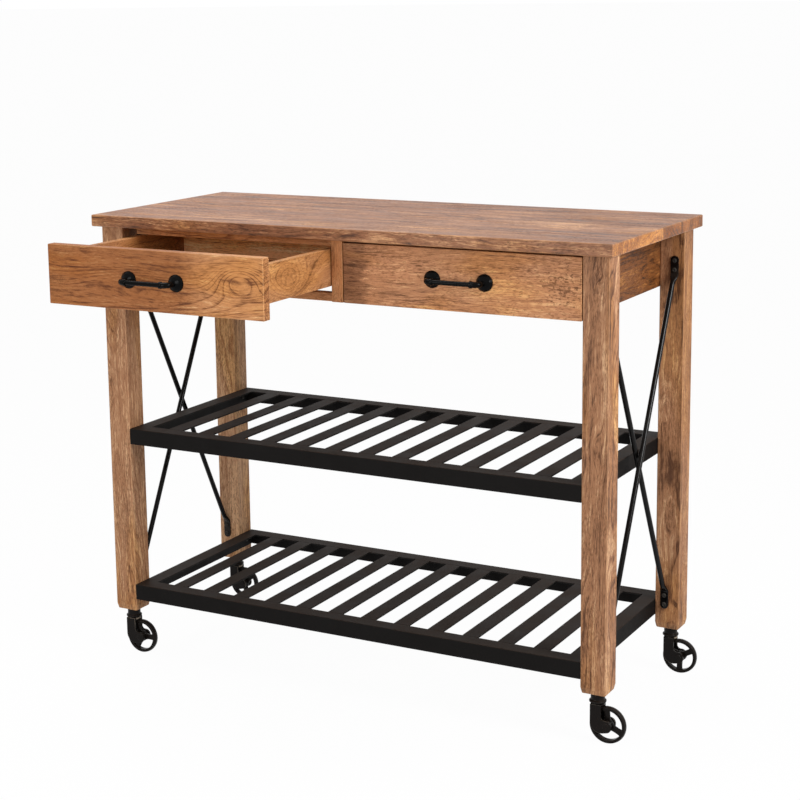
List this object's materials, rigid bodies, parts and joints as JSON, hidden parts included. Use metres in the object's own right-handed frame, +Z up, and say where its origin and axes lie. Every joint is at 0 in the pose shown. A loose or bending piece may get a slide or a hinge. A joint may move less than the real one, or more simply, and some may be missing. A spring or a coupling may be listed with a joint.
{
  "type": "kitchen cart",
  "caption": "Rolling wood kitchen cart with a plank worktop, sliding drawers with bar pulls, slatted angle-iron shelves, crossed rod braces and spoked swivel casters.",
  "frame": {"origin": "on the floor below the middle of the worktop", "axes": "+X along the cart to the right as seen from the drawers, +Y to the back, +Z up"},
  "size_m": [1.118, 0.7145, 0.91],
  "materials": {
    "brown_wood": "oiled hardwood with strong grain and grey-brown streaks",
    "inner_wood": "sanded hardwood, less figured",
    "drawer_panel": "plywood",
    "black_steel": "satin black lacquer over welded steel, rubbed brown on top faces",
    "cast_iron": "satin black lacquer over rough castings",
    "dark_screws": "blackened steel"
  },
  "bodies": {
    "cart": {"back_apron": "brown_wood", "brace_screws": "dark_screws", "centre_partition": "inner_wood", "centre_stile": "brown_wood", "front_bottom_rail": "brown_wood", "front_left_caster_stem": "cast_iron", "front_left_leg": "brown_wood", "front_right_caster_stem": "cast_iron", "front_right_leg": "brown_wood", "front_top_rail": "brown_wood", "left_falling_brace": "black_steel", "left_inner_kicker": "inner_wood", "left_inner_runner": "inner_wood", "left_outer_kicker": "inner_wood", "left_outer_runner": "inner_wood", "left_rising_brace": "black_steel", "left_side_apron": "brown_wood", "lower_shelf_frame": "black_steel", "lower_shelf_slats": "black_steel", "middle_shelf_frame": "black_steel", "middle_shelf_slats": "black_steel", "rear_left_caster_stem": "cast_iron", "rear_left_leg": "brown_wood", "rear_right_caster_stem": "cast_iron", "rear_right_leg": "brown_wood", "right_falling_brace": "black_steel", "right_inner_kicker": "inner_wood", "right_inner_runner": "inner_wood", "right_outer_kicker": "inner_wood", "right_outer_runner": "inner_wood", "right_rising_brace": "black_steel", "right_side_apron": "brown_wood", "shelf_screws": "dark_screws", "worktop": "brown_wood"},
    "left_drawer": {"left_drawer_back": "inner_wood", "left_drawer_bottom": "drawer_panel", "left_drawer_front": "brown_wood", "left_drawer_inner_side": "inner_wood", "left_drawer_outer_side": "inner_wood", "left_drawer_pull": "cast_iron", "left_drawer_pull_screws": "dark_screws"},
    "right_drawer": {"right_drawer_back": "inner_wood", "right_drawer_bottom": "drawer_panel", "right_drawer_front": "brown_wood", "right_drawer_inner_side": "inner_wood", "right_drawer_outer_side": "inner_wood", "right_drawer_pull": "cast_iron", "right_drawer_pull_screws": "dark_screws"},
    "front_left_caster_swivel": {"front_left_caster_fork": "cast_iron", "front_left_caster_axle": "cast_iron"},
    "front_left_caster_roller": {"front_left_caster_wheel": "cast_iron"},
    "rear_left_caster_swivel": {"rear_left_caster_fork": "cast_iron", "rear_left_caster_axle": "cast_iron"},
    "rear_left_caster_roller": {"rear_left_caster_wheel": "cast_iron"},
    "front_right_caster_swivel": {"front_right_caster_fork": "cast_iron", "front_right_caster_axle": "cast_iron"},
    "front_right_caster_roller": {"front_right_caster_wheel": "cast_iron"},
    "rear_right_caster_swivel": {"rear_right_caster_fork": "cast_iron", "rear_right_caster_axle": "cast_iron"},
    "rear_right_caster_roller": {"rear_right_caster_wheel": "cast_iron"}
  },
  "joints": [
    {"name": "left_drawer_slide", "type": "slide", "parent": "cart", "child": "left_drawer", "axis": [0, -1, 0], "range_m": [-0.23, 0.06]},
    {"name": "right_drawer_slide", "type": "slide", "parent": "cart", "child": "right_drawer", "axis": [0, -1, 0], "range_m": [0, 0.29]},
    {"name": "front_left_swivel", "type": "hinge", "parent": "cart", "child": "front_left_caster_swivel", "pos_m": [-0.513, -0.1915, 0.072], "axis": [0, 0, 1], "continuous": true},
    {"name": "front_left_roll", "type": "hinge", "parent": "front_left_caster_swivel", "child": "front_left_caster_roller", "pos_m": [-0.493, -0.1915, 0.035], "axis": [0, 1, 0], "continuous": true},
    {"name": "rear_left_swivel", "type": "hinge", "parent": "cart", "child": "rear_left_caster_swivel", "pos_m": [-0.513, 0.1915, 0.072], "axis": [0, 0, 1], "continuous": true},
    {"name": "rear_left_roll", "type": "hinge", "parent": "rear_left_caster_swivel", "child": "rear_left_caster_roller", "pos_m": [-0.493, 0.1915, 0.035], "axis": [0, 1, 0], "continuous": true},
    {"name": "front_right_swivel", "type": "hinge", "parent": "cart", "child": "front_right_caster_swivel", "pos_m": [0.513, -0.1915, 0.072], "axis": [0, 0, 1], "continuous": true},
    {"name": "front_right_roll", "type": "hinge", "parent": "front_right_caster_swivel", "child": "front_right_caster_roller", "pos_m": [0.533, -0.1915, 0.035], "axis": [0, 1, 0], "continuous": true},
    {"name": "rear_right_swivel", "type": "hinge", "parent": "cart", "child": "rear_right_caster_swivel", "pos_m": [0.513, 0.1915, 0.072], "axis": [0, 0, 1], "continuous": true},
    {"name": "rear_right_roll", "type": "hinge", "parent": "rear_right_caster_swivel", "child": "rear_right_caster_roller", "pos_m": [0.533, 0.1915, 0.035], "axis": [0, 1, 0], "continuous": true}
  ]
}
